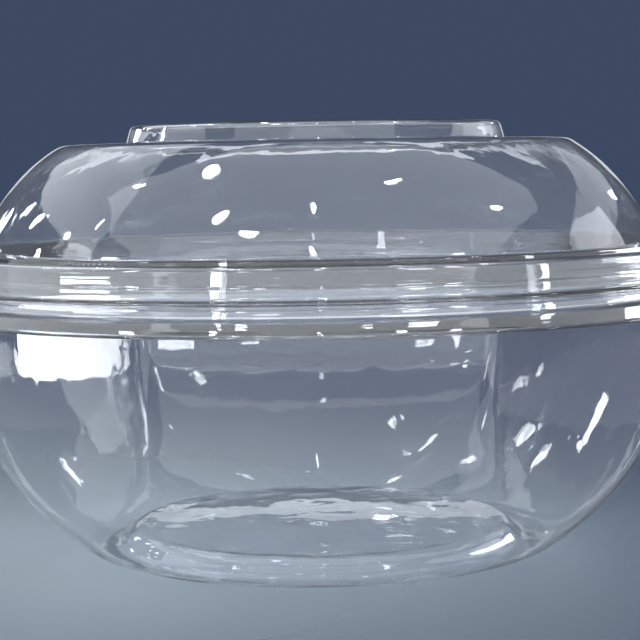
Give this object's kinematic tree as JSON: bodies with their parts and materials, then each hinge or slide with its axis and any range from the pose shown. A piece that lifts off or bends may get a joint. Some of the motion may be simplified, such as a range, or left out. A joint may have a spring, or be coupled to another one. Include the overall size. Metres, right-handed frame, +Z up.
{
  "type": "plastic salad bowl",
  "caption": "Clear thin-walled salad bowl with arched wall panels, a flat skirted rim and a matching lift-off dome lid with a stacking ring.",
  "frame": {"origin": "on the floor, under the centre of the bowl's foot", "axes": "+Z up, along the way the lid lifts; the front of the bowl looks along -Y"},
  "size_m": [0.185, 0.185, 0.0987],
  "materials": {
    "clear_bowl": "clear, glossy, thin formed sheet",
    "clear_lid": "clear, glossy, thin formed sheet"
  },
  "bodies": {
    "bowl": {"bowl": "clear_bowl"},
    "lid": {"lid": "clear_lid"}
  },
  "joints": [
    {"name": "lid_lift", "type": "slide", "parent": "bowl", "child": "lid", "axis": [0, 0, 1], "range_m": [0, 0.07]}
  ]
}
